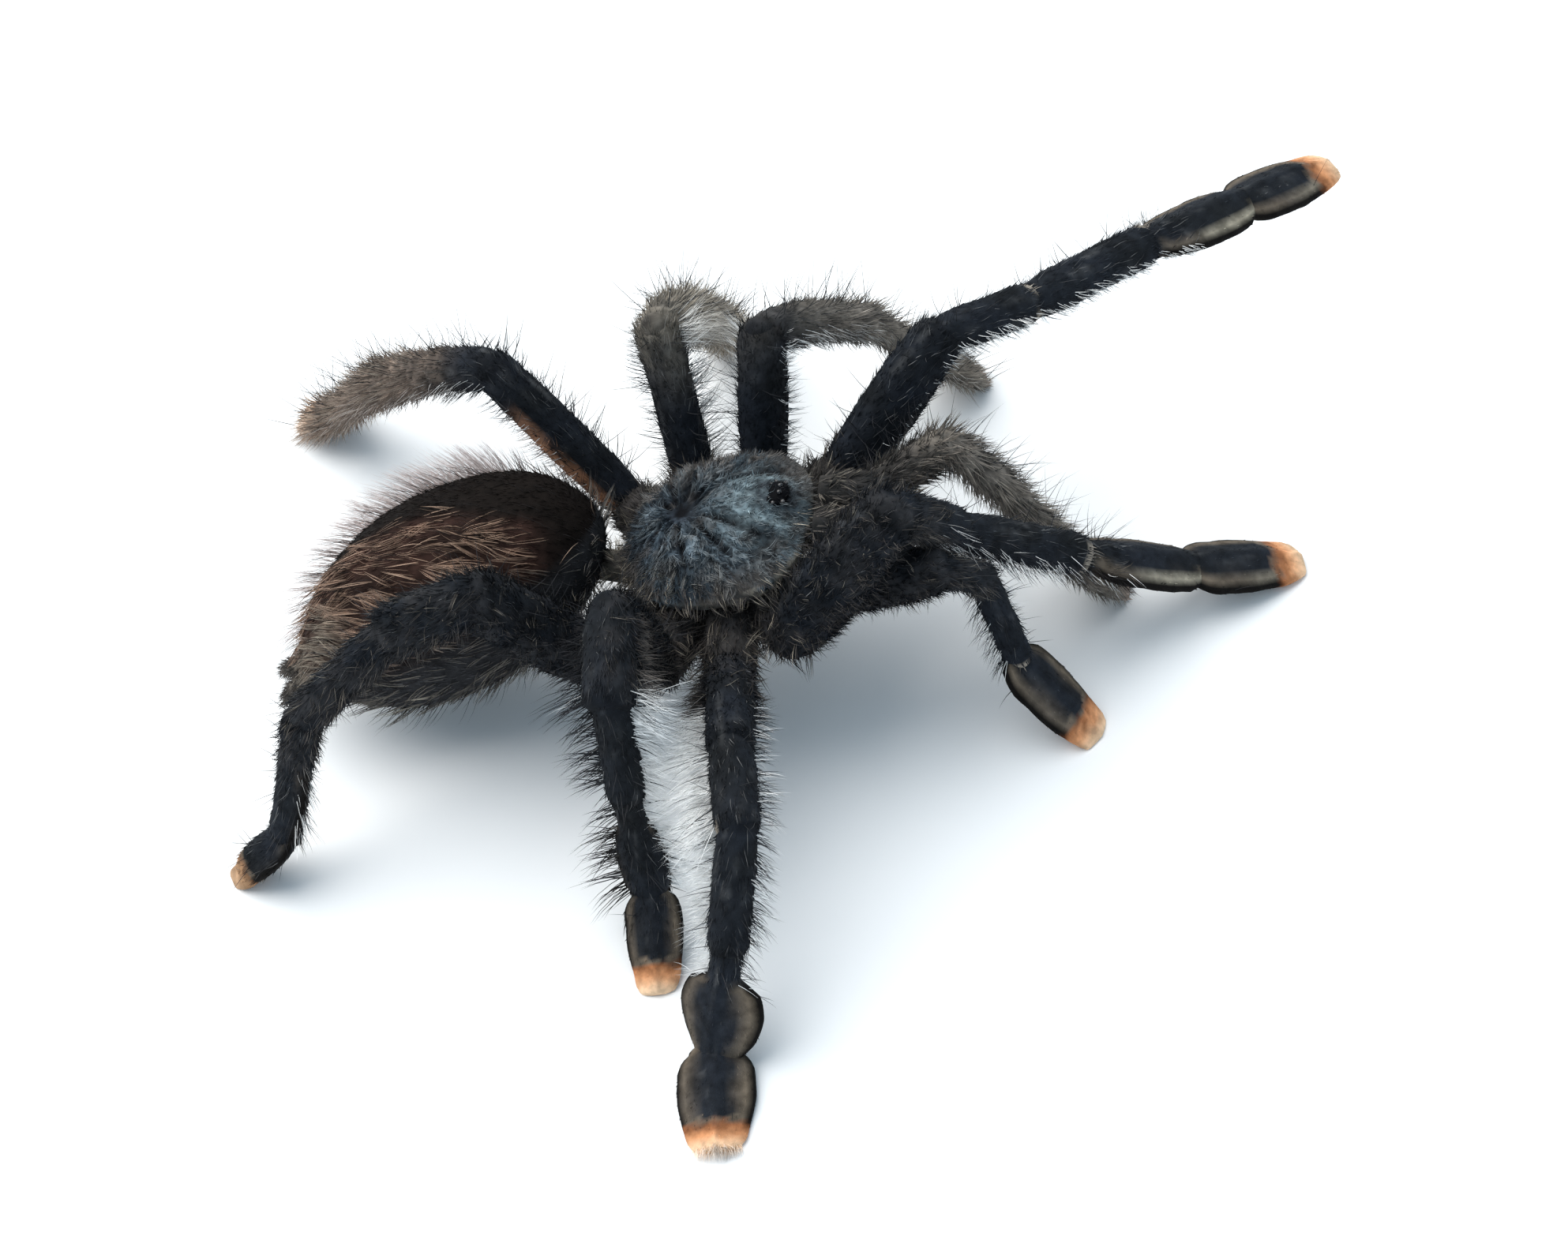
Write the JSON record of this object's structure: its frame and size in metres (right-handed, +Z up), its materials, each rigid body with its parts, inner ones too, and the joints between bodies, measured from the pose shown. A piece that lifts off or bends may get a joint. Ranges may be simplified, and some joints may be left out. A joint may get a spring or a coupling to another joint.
{
  "type": "dried tarantula specimen",
  "caption": "Dried hairy tarantula standing on its feet with one front leg raised, for display, its shield, abdomen, jaws and every leg segment separate.",
  "frame": {"origin": "on the ground, under the middle of the specimen's box", "axes": "+X towards the head, +Y to the animal's left, +Z up"},
  "size_m": [0.1068, 0.1054, 0.0323],
  "materials": {
    "shield": "blue-grey chitin with a metallic sheen under short flat-lying hair",
    "velvet": "near-black velvet of dense short hair with a blue cast, grey skin at the joints, and long pale-tipped bristles",
    "foot": "dense olive-brown hair pads with a dark stripe on top and orange-pink toe tips",
    "abdomen": "dark velvety brown under long copper-red and tan hair",
    "underside": "dull brown-black hairy chitin",
    "fang": "polished near-black chitin",
    "spinneret": "matt tan-brown hairy skin"
  },
  "bodies": {
    "root": {"abdomen": "abdomen", "carapace": "shield", "chelicera_left": "velvet", "chelicera_right": "velvet", "fang_left": "fang", "fang_right": "fang", "leg_1_left_femur": "velvet", "leg_1_left_metatarsus": "velvet", "leg_1_left_patella": "velvet", "leg_1_left_tarsus": "foot", "leg_1_left_tibia": "velvet", "leg_1_right_femur": "velvet", "leg_1_right_metatarsus": "velvet", "leg_1_right_patella": "velvet", "leg_1_right_tarsus": "foot", "leg_1_right_tibia": "velvet", "leg_2_left_femur": "velvet", "leg_2_left_metatarsus": "velvet", "leg_2_left_patella": "velvet", "leg_2_left_tarsus": "foot", "leg_2_left_tibia": "velvet", "leg_2_right_femur": "velvet", "leg_2_right_metatarsus": "velvet", "leg_2_right_patella": "velvet", "leg_2_right_tarsus": "foot", "leg_2_right_tibia": "velvet", "leg_3_left_femur": "velvet", "leg_3_left_metatarsus": "velvet", "leg_3_left_patella": "velvet", "leg_3_left_tarsus": "foot", "leg_3_left_tibia": "velvet", "leg_3_right_femur": "velvet", "leg_3_right_metatarsus": "velvet", "leg_3_right_patella": "velvet", "leg_3_right_tarsus": "foot", "leg_3_right_tibia": "velvet", "leg_4_left_femur": "velvet", "leg_4_left_metatarsus": "velvet", "leg_4_left_patella": "velvet", "leg_4_left_tarsus": "foot", "leg_4_left_tibia": "velvet", "leg_4_right_femur": "velvet", "leg_4_right_metatarsus": "velvet", "leg_4_right_patella": "velvet", "leg_4_right_tarsus": "foot", "leg_4_right_tibia": "velvet", "palp_left_femur": "velvet", "palp_left_patella": "velvet", "palp_left_tarsus": "foot", "palp_left_tibia": "velvet", "palp_right_femur": "velvet", "palp_right_patella": "velvet", "palp_right_tarsus": "foot", "palp_right_tibia": "velvet", "spinneret_left": "spinneret", "spinneret_right": "spinneret", "underside": "underside"}
  },
  "joints": []
}
